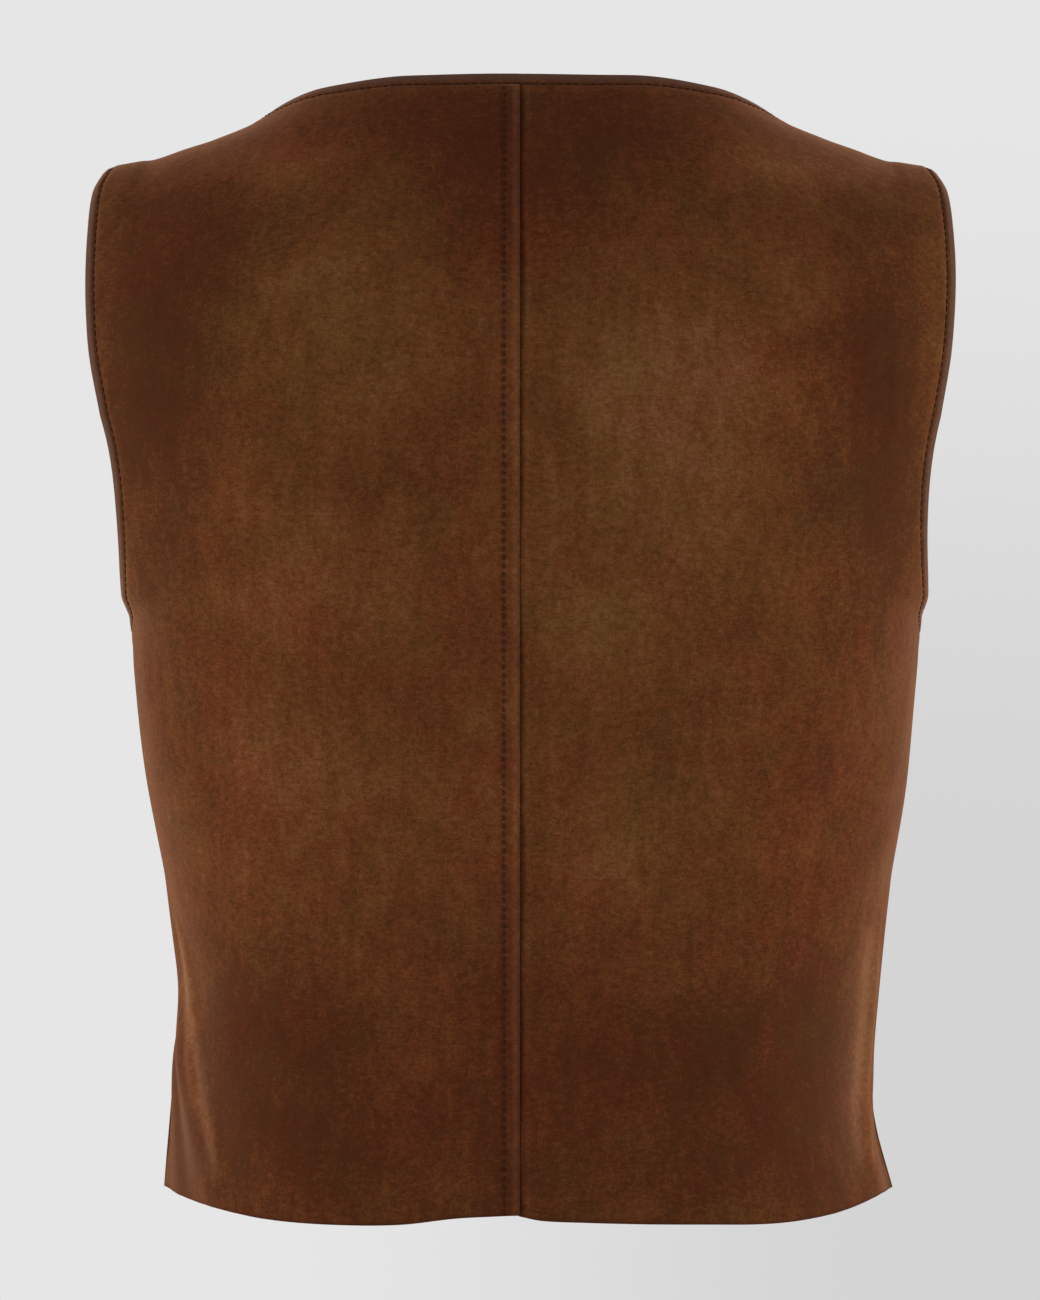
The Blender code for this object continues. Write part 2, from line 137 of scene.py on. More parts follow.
def edge_width(face, hand, height):
    """Half width at the side seam or, above the underarm, at the armhole edge."""
    name, full, _, _, deepest = FACES[face]
    climb = np.clip((full - height) / (full - UNDERARM_HEIGHT), 0.0, 1.0)
    ratio = deepest * np.sqrt(1 - climb ** 2) / read_column(BODY, height, name)
    power = read_column(BODY, height, "side_round")
    narrowed = (1 - ratio ** power) ** (1 / read_column(BODY, height, name + "_square"))
    return side_width(hand, height) * np.where(height <= UNDERARM_HEIGHT, 1.0, narrowed)


def section_depth(face, hand, out, height):
    """Depth of the body's level section, out metres from the centre line."""
    name = FACES[face].name
    centre = read_column(BODY, height, name)
    side = face * SEAM_GAP / 2
    share = np.clip(np.abs(out) / side_width(hand, height), 0.0, 1.0)
    square = read_column(BODY, height, name + "_square")
    roundness = read_column(BODY, height, "side_round")
    return side + (centre - side) * (1 - share ** square) ** (1 / roundness)


def cloth_points(panel, across, up):
    """Points of the plain cloth surface, and the share of the way round to the side seam.

    Across runs 0 to 1 beside the inner edge, to 2 below the neck and to 3 below the shoulder.
    Up runs 0 to 1 from the hem to the underarm, to 2 at the fullest level and to 3 at the top.
    """
    across, up = np.broadcast_arrays(across, up)
    face, hand = panel.face, panel.hand
    name, full, cut, arc, _ = FACES[face]
    inner_from, inner_to = panel.inner[0], panel.inner[-1]
    reach = SHOULDER_END - inner_to
    below_neck = np.clip(across - 1, 0, 1)
    below_shoulder = np.clip(across - 2, 0, 1)
    base = inner_from + (inner_to - inner_from) * np.clip(across, 0, 1)
    low = np.sin((NECK_FAN * below_neck + (1 - NECK_FAN) * below_shoulder) * np.pi / 2)
    first_angle = math.asin(inner_to / NECK_SIDE)
    angle = first_angle + (np.pi / 2 - first_angle) * below_neck
    top = (NECK_SIDE * np.sin(angle) - inner_to) / reach
    top = top + (SHOULDER_END - NECK_SIDE) / reach * below_shoulder
    climb = np.clip(up - 2, 0, 1)
    share = low + (top - low) * climb ** 2

    rise = np.clip(up - 1, 0, 1)
    rise = rise + (1 - np.cos(rise * np.pi / 2) - rise) * share ** 3
    height = np.where(up <= 1, HEM_HEIGHT + (UNDERARM_HEIGHT - HEM_HEIGHT) * np.clip(up, 0, 1),
                      UNDERARM_HEIGHT + (full - UNDERARM_HEIGHT) * rise)
    out = base + (edge_width(face, hand, height) - base) * share
    depth = section_depth(face, hand, out, height)
    dip = read_column(HEM, np.abs(out), "left" if hand > 0 else "right")
    if panel.name == "back_right":
        dip = dip - CUT_SHORT * np.clip(-out, 0, None)
    height = height - dip * (1 - smooth_step(height, HEM_HEIGHT, HEM_DIP_TOP))

    seam_out = np.abs(base + (SHOULDER_END - base) * top)
    neck_turn = 1 - (1 - cut) * np.sqrt(np.clip(1 - (seam_out / NECK_SIDE) ** 2, 0, 1))
    turn = climb * np.where(across >= 2, 1.0, neck_turn)
    lift = np.sin(arc * turn) / math.sin(arc)
    lean = (1 - np.cos(arc * turn)) / (1 - math.cos(arc))
    first_edge = edge_width(face, hand, np.array(full))
    tip_height = read_column(SHOULDER, SHOULDER_END, "height")
    edge = read_column(ARMHOLE, full + (tip_height - full) * lift, name)
    edge = edge + (first_edge - read_column(ARMHOLE, full, name)) * (1 - turn) ** 2
    top_out = base + (edge - base) * share
    first_depth = section_depth(face, hand, base + (first_edge - base) * share, np.array(full))
    top_depth = first_depth + (SHOULDER_SEAM_DEPTH + face * SEAM_GAP / 2 - first_depth) * lean
    seam_height = read_column(SHOULDER, np.abs(base + (SHOULDER_END - base) * share), "height")
    top_height = full + (seam_height - full) * lift

    over = up > 2
    points = np.stack([hand * np.where(over, top_out, out), np.where(over, top_depth, depth),
                       np.where(over, top_height, height)], axis=-1)
    return points, share


# Drape of the suede.
# A few soft ridges (rise above 0) and troughs (below 0), each from one end to the other in a
# slight bow. The face is 1 on the back and -1 on the front, the hand 1 on the wearer's left.
# Round runs from 0 at the centre back or front to 1 at the side seam.
CREASES = rows_of("face hand round_1 height_1 round_2 height_2 bow breadth rise",
                  "face hand round_1 round_2", (
    # Waist to the corner of the hem on the back.
    (0, 1, 1.04, -345, 0.55, -520, 0, 15, 4.2), (0, 1, 1.16, -380, 0.8, -540, 0, 17, -1.6),
    (0, -1, 0.94, -350, 0.74, -530, 0, 14, 3.4), (0, -1, 1.06, -390, 0.9, -545, 0, 15, -1.4),
    # Below the armholes on the back.
    (0, 1, 0.8, -250, 0.35, -330, 0, 26, -1.8), (0, -1, 0.85, -260, 0.4, -350, 0, 26, -1.8),
    # Waist to hem on the fronts.
    (0, 1, 1.3, -330, 1.42, -540, 0, 18, 4.5), (0, 1, 1.45, -360, 1.58, -540, 0, 20, -3.5),
    (0, -1, 1.26, -350, 1.36, -540, 0, 18, 4.2), (0, -1, 1.42, -330, 1.52, -540, 0, 20, -3.5),
    # Below the armholes on the fronts.
    (0, 1, 1.2, -225, 1.55, -290, 0, 20, -2.5), (0, -1, 1.22, -230, 1.58, -300, 0, 20, -2.5),
    # Crisper lines on the crests and soft dents, back.
    (1, 1, 0.9, -360, 0.56, -495, 3, 4.8, 1.8), (1, 1, 0.98, -385, 0.7, -520, 0, 10, -1.6),
    (1, -1, 0.87, -355, 0.76, -500, 0, 5, 1.6), (1, -1, 0.88, -430, 0.74, -494, 0, 2.8, 0.6),
    (1, -1, 0.96, -430, 0.88, -515, 0, 9, -1.4), (1, -1, 0.07, -6, 0.3, -1, 3, 4.5, -0.6),
    (1, -1, 0.1, -60, 0.3, -64, -2, 6, -0.6), (1, -1, 0.34, -110, 0.55, -90, 4, 9, -0.7),
    (1, 1, 0.3, -95, 0.56, -60, 6, 10, -0.8), (1, 1, 0.5, -300, 0.86, -330, -10, 11, -1),
    (1, -1, 0.52, -330, 0.88, -310, -12, 12, -1), (1, 1, 0.12, -400, 0.4, -425, -8, 16, -1),
    (1, -1, 0.14, -440, 0.44, -415, -8, 16, -1),
    # The same kind on the fronts.
    (-1, 1, 0.86, -245, 0.52, -215, 10, 8, -1.3), (-1, -1, 0.84, -250, 0.5, -205, 12, 8.5, -1.3),
    (-1, 1, 0.92, -380, 0.6, -350, -8, 7.5, -1.2), (-1, -1, 0.94, -365, 0.58, -385, 6, 7.5, -1.2),
    (-1, 1, 0.08, -350, 0.4, -375, -6, 7, -1), (-1, -1, 0.1, -262, 0.38, -240, 6, 8, -1),
    (-1, -1, 0.1, -352, 0.42, -330, 8, 7, -1.1), (-1, 1, 0.55, -80, 0.3, -140, 10, 11, -1.2),
    (-1, -1, 0.56, -75, 0.3, -145, 10, 11, -1.2),
))
LEVEL_SLOPE = 0.24  # a crease that climbs less than this for a step of round is followed along it
CREASE_GIRTH = 1.3  # distance round the body for one step of round, in half widths


def crease_rise(panel, share, points, crisp_only=False):
    """Sum of the folds and creases at points of the cloth, or of the crisper ones alone."""
    total = np.zeros(share.shape)
    height = points[..., 2]
    around = 2 / np.pi * np.arcsin(np.clip(share, 0, 1))
    girth = side_width(panel.hand, height) * CREASE_GIRTH
    for number, crease in enumerate(CREASES):
        broad_fold = crease.face == 0
        if (crease.hand != panel.hand or crease.face == -panel.face
                or (crisp_only and broad_fold)):
            continue
        # A fold of either face is placed by one scale that runs on from back to front.
        here = 2 - around if broad_fold and panel.face < 0 else around
        climb = crease.height_2 - crease.height_1
        turn = crease.round_2 - crease.round_1
        if abs(climb) > abs(turn) * LEVEL_SLOPE:
            along = (height - crease.height_1) / climb
            away = (here - (crease.round_1 + turn * along)) * girth
        else:
            along = (here - crease.round_1) / turn
            away = height - (crease.height_1 + climb * along)
        along = np.clip(along, 0, 1)
        swell = np.sin(np.pi * along)
        away = away - crease.bow * swell
        if not broad_fold:
            away = away + 0.0012 * np.sin(along * 9.0 + number)
            swell = swell * (0.85 + 0.15 * np.sin(along * 13.0 + 2 * number))
        total += crease.rise * swell * hump(away, crease.breadth)
    return total


# The two backs and the two fronts.
# Brown suede 1.7 mm thick, flesh side out and brushed. The backs meet at the centre in a seam
# whose left edge is turned under and laid over the right one. The right front laps the left.
Panel = namedtuple("Panel", "name face hand inner lies_under flat area")
PANELS = (
    Panel("back_left", 1, 1,
          lengths_of(0.15, 0.4, 0.8, 1.3, 2, 3, 4.2, 5.4, 6.3, 6.9, 7.3, 7.7, 8.2, 9, 10),
          False, (0.255, 0.560), 0.124),
    Panel("back_right", 1, -1,
          lengths_of(-2.2, -1.2, -0.4, 0, 0.4, 0.8, 1.3, 2, 2.8, 4, 5.5, 7.5, 10),
          False, (0.258, 0.560), 0.126),
    Panel("front_left", -1, 1,
          lengths_of(-14, -13.7, -13.2, -12.5, -11.5, -10, -7, -4, 0, 4, 8, 12, 16.5, 18.5, 20.5,
                     22.5, 24.5),
          True, (0.280, 0.545), 0.120),
    Panel("front_right", -1, -1,
          lengths_of(-14, -13.7, -13.2, -12.6, -11.8, -10.9, -10.1, -9.6, -9.2, -8.8, -8.3, -7.5,
                     -6, -4, -1.5, 1, 4, 7, 11, 15),
          False, (0.280, 0.545), 0.122),
)
WALL = 0.0017
DOUBLED_WALL = 0.0026
TURNING = 0.0095
STITCH_LINE = 0.0070
EDGE_ROUND = 0.0017
SEAM_STITCH_LINE = 0.0075
ARMHOLE_FLARE = 0.0034
FLARE_TOP = -0.212
FLARE_END = -0.140
LAP_INSET = WALL + 0.0004
INSET_FROM, INSET_TO = 0.0165, 0.0245
SEAM_ROUND = 0.0003
HEM_ROUND = 0.0004
# Distances from an edge at which the cloth's mesh has a line, close about the row of stitches.
EDGE_LINES = lengths_of(0, 0.2, 0.5, 0.9, 1.4, 2, 2.7, 3.5, 4.3, 5, 5.6, 6.1, 6.5, 7, 7.5, 7.9,
                        8.4, 9, 9.7, 10.5, 12.5)
HEM_LINES = lengths_of(0, 0.3, 0.7, 1.2, 2, 3.2, 5, 7.5)


def mesh_lines(panel):
    """Across and up of every point of a panel's mesh, with the edge lines at true distances."""
    inner = panel.inner
    neck_degrees = np.concatenate([np.arange(2.5, 70, 2.5), np.arange(70, 84, 1.4),
                                   np.arange(84, 90.5, 1.0)])
    shoulder = EDGE_LINES[1:] / (SHOULDER_END - NECK_SIDE)
    fixed = np.concatenate([(inner - inner[0]) / (inner[-1] - inner[0]), 1 + neck_degrees / 90,
                            2 + shoulder])
    hem_up = UNDERARM_HEIGHT - HEM_HEIGHT
    low_up = np.concatenate([HEM_LINES, np.linspace(0.0105, hem_up - 0.0150, 84),
                             hem_up - EDGE_LINES[::-1]]) / hem_up
    middle_up = 1 + np.arange(1, 29) / 28
    # Over the shoulder each column's lines keep true distances from the neck edge or seam.
    scan_across = np.unique(np.concatenate([fixed, np.linspace(2.0, 3.0, 161),
                                            3 - np.geomspace(1e-4, 0.3, 60)]))
    scan_up = np.linspace(2.0, 3.0, 241)
    points, _ = cloth_points(panel, scan_across[None, :], scan_up[:, None])
    steps = np.linalg.norm(np.diff(points, axis=0), axis=-1)
    left = np.concatenate([np.cumsum(steps[::-1], axis=0)[::-1], np.zeros((1, len(scan_across)))])
    high_up = []
    for k in range(len(scan_across)):
        edge_up = np.interp(EDGE_LINES, left[::-1, k], scan_up[::-1])
        high_up.append(np.concatenate([np.linspace(2.0, edge_up[-1], 46)[1:-1], edge_up[::-1]]))
    high_up = np.array(high_up).T
    rows = np.concatenate([np.repeat(np.concatenate([low_up, middle_up])[:, None],
                                     len(scan_across), axis=1), high_up])
    # Along each line the columns keep true distances from the side seam and the armhole.
    points, _ = cloth_points(panel, scan_across[None, :], rows)
    steps = np.linalg.norm(np.diff(points, axis=1), axis=-1)
    across, up = [], []
    for k in range(len(rows)):
        to_side = np.concatenate([np.cumsum(steps[k, ::-1])[::-1], [0.0]])
        edge_across = np.interp(EDGE_LINES, to_side[::-1], scan_across[::-1])
        between = np.linspace(fixed[-1], edge_across[-1], 87)[1:-1]
        line = np.concatenate([fixed, between, edge_across[::-1]])
        across.append(line)
        up.append(np.interp(line, scan_across, rows[k]))
    return np.array(across), np.array(up)


def tree_of(points):
    tree = KDTree(len(points))
    for i, place in enumerate(points):
        tree.insert(place, i)
    tree.balance()
    return tree


CROSSED = 0.4  # least sine of the angle between the grid's two ways for a sound normal


def grid_normals(panel, grid, row_up):
    """Outward normals of a grid of points. Those on a seam's plane are kept level with it."""
    up = np.gradient(grid, axis=0)
    across = np.gradient(grid, axis=1)
    normals = np.cross(up, across) * panel.hand * panel.face
    # By the corner of the neck the grid's two ways run nearly side by side, so its normals there
    # are taken from the nearest sound ones.
    crossing = np.linalg.norm(normals, axis=-1)
    crossing = crossing / (np.linalg.norm(up, axis=-1) * np.linalg.norm(across, axis=-1))
    normals /= np.linalg.norm(normals, axis=-1, keepdims=True)
    sound = np.argwhere((crossing > CROSSED) & (row_up > 2.0))
    tree = tree_of(grid[sound[:, 0], sound[:, 1]])
    for row, column in np.argwhere(crossing <= CROSSED):
        near = sound[[i for _, i, _ in tree.find_n(grid[row, column], 12)]]
        normals[row, column] = normals[near[:, 0], near[:, 1]].mean(axis=0)
    if panel.name == "back_left":
        normals[:, 0, 0] = 0.0
    normals[row_up[:, -1] <= 1.0, -1, 1] = 0.0
    beyond = np.abs(grid[-1, :, 0]) >= NECK_SIDE - 1e-6
    normals[-1, beyond, 1] = 0.0
    return normals / np.linalg.norm(normals, axis=-1, keepdims=True)


def distance_to(points, line):
    """Distance from each point to a line of close points."""
    tree = tree_of(line)
    flat = points.reshape(-1, 3)
    return np.array([tree.find(place)[2] for place in flat]).reshape(points.shape[:-1])


def panel_edges(panel):
    """Close points along a panel's neck, armhole, side seam, shoulder seam, hem and front edge."""
    run = np.linspace(0, 1, 2500)
    ways = {"neck": (2 * np.sin(run * np.pi / 2), 3.0), "armhole": (3.0, 1 + 2 * run),
            "side": (3.0, run), "shoulder": (2 + run, 3.0), "hem": (3 * run, 0.0)}
    if panel.face < 0:
        ways["front"] = (0.0, 3 * run)
    return {name: cloth_points(panel, *way)[0] for name, way in ways.items()}


def rolled(distance, radius):
    """How far a rounded edge has fallen away, at a distance in from the edge."""
    inside = np.clip(1 - distance / radius, 0, 1)
    return radius * (1 - np.sqrt(1 - inside ** 2))


def line_on_cloth(far, distance, outer, by_rows, clear):
    """Outer-face points at a distance from an edge, found row by row or column by column."""
    if not by_rows:
        far, outer, clear = far.T, outer.transpose(1, 0, 2), clear.T
    found = []
    for away, places, free in zip(far, outer, clear):
        near = np.flatnonzero(away < distance)
        if 0 < len(near) < len(away):
            i = near[0] if near[-1] == len(away) - 1 else near[-1] + 1
            t = (distance - away[i - 1]) / (away[i] - away[i - 1])
            if free[i]:
                found.append(places[i - 1] * (1 - t) + places[i] * t)
    return np.array(found)


def suede_panel(panel):
    """Mesh of one panel: brushed outer face, inner face and the rim between them.

    Also the lines on its outer face along which it is stitched.
    """
    across, up = mesh_lines(panel)
    base, share = cloth_points(panel, across, up)
    normals = grid_normals(panel, base, up)
    out = base[..., 0] * panel.hand
    height = base[..., 2]
    far = {name: distance_to(base, line) for name, line in panel_edges(panel).items()}
    turned = np.minimum(far["neck"], far["armhole"])
    if panel.face < 0:
        turned = np.minimum(turned, far["front"])
    seam = np.minimum(far["side"], far["shoulder"])

    # Broad form: folds, the flare of the armholes and the set-in of the left front.
    broad = crease_rise(panel, share, base)
    broad += (ARMHOLE_FLARE * smooth_step(share, 0.86, 1.0)
              * smooth_step(height, UNDERARM_HEIGHT, FLARE_TOP)
              * (1 - smooth_step(height, FLARE_TOP, FLARE_END)))
    # A slight waviness, in waves 10 to 30 cm long.
    broad += 0.00035 * np.sin(out * 61 + height * 23) * np.sin(height * 47 - out * 19 + panel.hand)
    if panel.lies_under:
        broad -= LAP_INSET * (1 - smooth_step(out, INSET_FROM, INSET_TO))
    # Fine form: turned and stitched edges, pressed seams, and the lapped centre-back seam.
    fine = (0.00045 * smooth_step(turned, 0.0004, 0.0020)
            * (1 - smooth_step(turned, 0.0050, STITCH_LINE))
            - 0.00040 * hump(turned - STITCH_LINE, 0.0008)
            + 0.00025 * hump(turned - 0.0098, 0.0022))
    fine *= smooth_step(far["shoulder"], 0.0, 0.0080)
    fine -= rolled(turned, EDGE_ROUND)
    fine += 0.00012 * hump(seam - 0.0045, 0.0030) - 0.00018 * hump(seam, 0.0022)
    fine -= rolled(seam, SEAM_ROUND)
    fine -= rolled(far["hem"], HEM_ROUND)
    doubled = 1 - smooth_step(turned, TURNING, TURNING + 0.0007)
    thickness = WALL + (DOUBLED_WALL - WALL) * doubled
    # The centre-back seam runs up under the turned neck edge, and is flush within it.
    open_seam = smooth_step(far["neck"], 0.0062, 0.0100)
    if panel.name == "back_left":
        fine += open_seam * (0.0007 * (1 - smooth_step(out, 0.0030, 0.0220))
                             + 0.00030 * hump(out - 0.0022, 0.0015)
                             - 0.00014 * hump(out - SEAM_STITCH_LINE, 0.00090))
        fine -= rolled(np.clip(out, 0, None), 0.0006) * (0.3 + 0.7 * open_seam)
        thickness += 0.0010 * (1 - smooth_step(out, 0.0080, 0.0100))
        thickness -= 0.0014 * (1 - smooth_step(out, 0.0026, 0.0038))
    if panel.name == "back_right":
        fine += open_seam * (0.00030 * hump(out - 0.0032, 0.0014)
                             - 0.00025 * (1 - smooth_step(out, 0.0, 0.0012)))
    outer = base + normals * (broad + fine)[..., None]
    # The inner face follows the broad form, and comes up round a turned edge.
    edge_fall = rolled(turned, EDGE_ROUND)
    inner_fall = thickness - edge_fall - rolled(far["hem"], HEM_ROUND)
    least_fall = np.where(turned < EDGE_ROUND, edge_fall + 0.0001, 0.0)
    inner = base + normals * (broad - np.maximum(inner_fall, least_fall))[..., None]

    front = far.get("front", np.ones(out.shape))
    lines = {
        "neck": line_on_cloth(far["neck"], STITCH_LINE, outer, False, front >= STITCH_LINE),
        "armhole": line_on_cloth(far["armhole"], STITCH_LINE, outer, True, front >= STITCH_LINE),
    }
    if panel.face < 0:
        lines["front_edge"] = line_on_cloth(front, STITCH_LINE, outer, True,
                                            far["neck"] >= STITCH_LINE)
    if panel.name == "back_left":
        lines["centre_back"] = line_on_cloth(out, SEAM_STITCH_LINE, outer, True,
                                             far["neck"] >= STITCH_LINE + 0.001)

    rows, columns = out.shape
    count = rows * columns
    index = np.arange(count).reshape(rows, columns)
    quads = np.stack([index[:-1, :-1], index[1:, :-1], index[1:, 1:], index[:-1, 1:]], -1)
    quads = quads.reshape(-1, 4)
    rim = np.concatenate([index[:-1, 0], index[-1, :-1], index[:0:-1, -1], index[0, :0:-1]])
    after = np.roll(rim, -1)
    faces = np.concatenate([quads, quads[:, ::-1] + count,
                            np.stack([after, rim, rim + count, after + count], -1)])
    if panel.hand * panel.face < 0:
        faces = faces[:, ::-1]
    mesh = bpy.data.meshes.new("suede_" + panel.name)
    points = np.concatenate([outer.reshape(-1, 3), inner.reshape(-1, 3)])
    mesh.from_pydata(points.tolist(), [], faces.tolist())
    mesh.shade_smooth()

    # Colour read by the suede: tone and warmth patches, painted light and shade on creases, seams
    # and edges, and a darker hem.
    tone, warmth = tone_and_light_patches(panel, outer)
    # Painted highlight on the crisp crease ridges, paler and warmer, and painted shade in their
    # dents.
    crests = crease_rise(panel, share, base, True)
    tone += 110 * crests + 100 * np.clip(crests, 0, None)
    warmth += 60 * np.clip(crests, 0, None)
    # Painted sheen: a greyer, paler strip along the rolled turned edges.
    strip = 1 - smooth_step(turned, 0.0024, 0.0072)
    # Painted shade in the stitch groove and a painted highlight on the band below it.
    tone += 0.08 * hump(turned - 0.0100, 0.0022) - 0.10 * hump(turned - STITCH_LINE, 0.0010)
    tone -= 0.25 * hump(far["hem"], 0.0012)
    # Painted shadow along the centre-back seam line under the lapped edge, and painted highlights
    # on the crests beside it.
    if panel.name == "back_left":
        tone += open_seam * (0.06 * hump(out - 0.0022, 0.0012) - 0.12 * hump(out, 0.0005)
                             - 0.02 * hump(out - SEAM_STITCH_LINE, 0.0012))
        warmth += open_seam * 0.12 * hump(out - 0.0050, 0.0050)
    if panel.name == "back_right":
        tone += open_seam * (0.10 * hump(out - 0.0032, 0.0011) - 0.10 * hump(out, 0.0006))
    # Painted highlight, paler and pinker, on fold crests near the hem and on the crest by the
    # centre-back seam.
    painted_highlight = painted_crest_highlight(panel, outer, share)
    if panel.name == "back_left":
        painted_highlight += open_seam * 0.09 * hump(out - 0.0022, 0.0012)
    tone, warmth, strip, painted_highlight = (np.tile(part.ravel(), 2)
                                   for part in (tone, warmth, strip, painted_highlight))
    inside = np.repeat((0.0, 1.0), count)
    nap = np.stack([tone, warmth, strip, inside], -1).astype(np.float32)
    layer = mesh.attributes.new("nap", "FLOAT_COLOR", "POINT")
    layer.data.foreach_set("color", nap.ravel())
    layer = mesh.attributes.new("painted_highlight", "FLOAT", "POINT")
    layer.data.foreach_set("value", painted_highlight.astype(np.float32))
    # UV in metres of cloth: across from the inner edge, and up from the hem.
    widths = np.linalg.norm(np.diff(base, axis=1), axis=-1)
    lengths = np.linalg.norm(np.diff(base, axis=0), axis=-1)
    u = np.concatenate([np.zeros((rows, 1)), np.cumsum(widths, axis=1)], axis=1)
    v = np.concatenate([np.zeros((1, columns)), np.cumsum(lengths, axis=0)], axis=0)
    uv = np.tile(np.stack([u, v], -1).reshape(-1, 2), (2, 1))
    corners = np.zeros(len(mesh.loops), np.int32)
    mesh.loops.foreach_get("vertex_index", corners)
    mesh.uv_layers.new(name="cloth").data.foreach_set("uv", uv[corners].ravel().astype(np.float32))
    return mesh, lines


# Patches of the back, darker or lighter (tone) and redder or more olive (warmth): partly the nap's
# own mottling, partly painted light and shade such as painted sheen along the shoulder tops. Both
# in hundredths: their middles, half widths and half heights.
BACK_PATCHES = rows_of("x z wide tall tone warmth", "tone warmth", (
    (128, -12, 50, 14, 26, 5), (-128, -14, 50, 14, 20, 5), (168, -45, 26, 30, 0, 40),
    (108, 0, 20, 12, -16, 45), (45, -85, 50, 45, 12, -30), (152, -46, 32, 36, -20, 15),
    (105, -85, 35, 35, 15, -30), (175, -110, 22, 60, -24, 5), (-25, -8, 45, 30, -18, 20),
    (30, -3, 40, 26, -12, 25), (6, -40, 22, 30, -6, 35), (-50, -110, 55, 55, 18, -22),
    (-158, -110, 24, 60, -14, -5), (-174, -120, 14, 50, -16, -30), (-135, -65, 25, 26, 12, 0),
    (-100, -140, 45, 45, 13, 0), (123, -185, 35, 35, 4, -10), (-105, -185, 35, 40, 14, 0),
    (78, -198, 30, 30, 15, 15), (114, -228, 30, 26, 14, 20), (-37, -217, 45, 50, 15, -26),
    (128, -306, 40, 45, 12, 15), (70, -320, 36, 85, 14, 0), (-128, -306, 40, 40, 8, 30),
    (-155, -172, 20, 26, -14, -20), (-110, -108, 24, 24, 6, 45), (-130, -370, 35, 24, 0, 40),
    (-30, -330, 60, 50, 13, -10), (32, -464, 55, 36, -12, 30), (52, -440, 30, 45, 14, 10),
    (120, -440, 45, 60, -16, 35), (-40, -440, 60, 50, -8, 35), (-120, -450, 40, 50, -13, 30),
    (-60, -330, 40, 36, 5, -25), (80, -365, 40, 40, -3, 10), (45, -395, 80, 30, -6, 5),
    (8, -484, 30, 20, -8, 0), (160, -190, 18, 90, -8, 5), (-172, -170, 16, 70, -12, 30),
    (-115, -192, 20, 20, -10, 0), (-146, -305, 20, 22, -10, 0), (23, -60, 20, 50, -5, 28),
    (-160, -100, 25, 55, 0, 32), (90, -120, 45, 60, 5, 0), (-50, -165, 50, 40, 5, 0),
    (-80, -100, 40, 30, 4, 0), (100, -480, 70, 30, -6, 5), (-130, -480, 60, 30, -6, 0),
    (-145, -420, 18, 55, -10, 0), (132, -410, 18, 30, -6, 0), (22, -200, 18, 200, 0, 22),
    (-6, -340, 22, 70, -3, 24), (-36, -360, 30, 50, -2, 22), (-10, -40, 20, 30, -4, 22),
    (110, -330, 30, 40, 4, 0), (160, -110, 16, 50, -6, 5), (70, 12, 45, 18, -5, 40),
    (-72, 10, 45, 20, -5, 40), (-130, -430, 45, 50, -7, -10), (115, -440, 45, 50, -4, -10),
    (150, -12, 30, 16, -6, 0),
))
# Crests of folds towards the corners of the hem, painted paler and pinker as a highlight:
# x and z of points along each, its half width and how strong the painted highlight is.
LEFT_CREST = ((0.1640, -0.375), (0.1585, -0.411), (0.1485, -0.459), (0.1430, -0.490))
RIGHT_CREST = ((-0.1680, -0.370), (-0.1656, -0.406), (-0.1625, -0.435), (-0.1602, -0.455),
               (-0.1625, -0.490))
CREST_HIGHLIGHTS = ((LEFT_CREST, 0.0026, 0.32), (LEFT_CREST, 0.0120, 0.05),
          (RIGHT_CREST, 0.0036, 0.31), (RIGHT_CREST, 0.0100, 0.08))


def painted_crest_highlight(panel, points, share):
    """Painted highlight on fold crests at points, 0 off them and along the side seam."""
    total = np.zeros(points.shape[:-1])
    # The hidden fronts have crests of the same kind, a little further in.
    flip, strength = (1.0, 1.0) if panel.face > 0 else (-1.10, 0.6)
    x, z = points[..., 0] * flip, points[..., 2]
    for crest_points, wide, amount in CREST_HIGHLIGHTS:
        xs, zs = np.array(crest_points).T
        along = np.clip((zs[0] - z) / (zs[0] - zs[-1]), 0, 1)
        crest = np.interp(-z, -zs, xs)
        total += amount * np.sin(np.pi * along) ** 0.6 * hump(x - crest, wide)
    return total * strength * (1 - smooth_step(share, 0.970, 1.0))


def tone_and_light_patches(panel, points):
    """Tone and warmth at points, partly painted light and shade, each 0.5 where it is plain."""
    tone = np.full(points.shape[:-1], 0.5)
    warmth = np.full(points.shape[:-1], 0.5)
    # The hidden fronts get patches of the same kind, in other places.
    shift, flip = ((0.0, 1.0) if panel.face > 0 else (-0.030, -0.9))
    for patch in BACK_PATCHES:
        spot = hump(points[..., 0] * flip - patch.x, patch.wide)
        spot = spot * hump(points[..., 2] - patch.z - shift, patch.tall)
        tone += patch.tone / 100 * spot
        warmth += patch.warmth / 100 * spot
    return tone, warmth


def linear(hex_colour):
    """An sRGB hex colour as linear RGBA."""
    parts = [int(hex_colour[i:i + 2], 16) / 255 for i in (1, 3, 5)]
    return [p / 12.92 if p <= 0.04045 else ((p + 0.055) / 1.055) ** 2.4 for p in parts] + [1.0]


def add_node(tree, kind, inputs=None, **settings):
    """Add a node. Each input is linked to a socket, or given a value or a hex colour."""
    node = tree.nodes.new(kind)
    for name, value in settings.items():
        setattr(node, name, value)
    for name, value in (inputs or {}).items():
        if isinstance(value, bpy.types.NodeSocket):
            tree.links.new(value, node.inputs[name])
        else:
            coloured = isinstance(value, str) and value.startswith("#")
            node.inputs[name].default_value = linear(value) if coloured else value
    return node


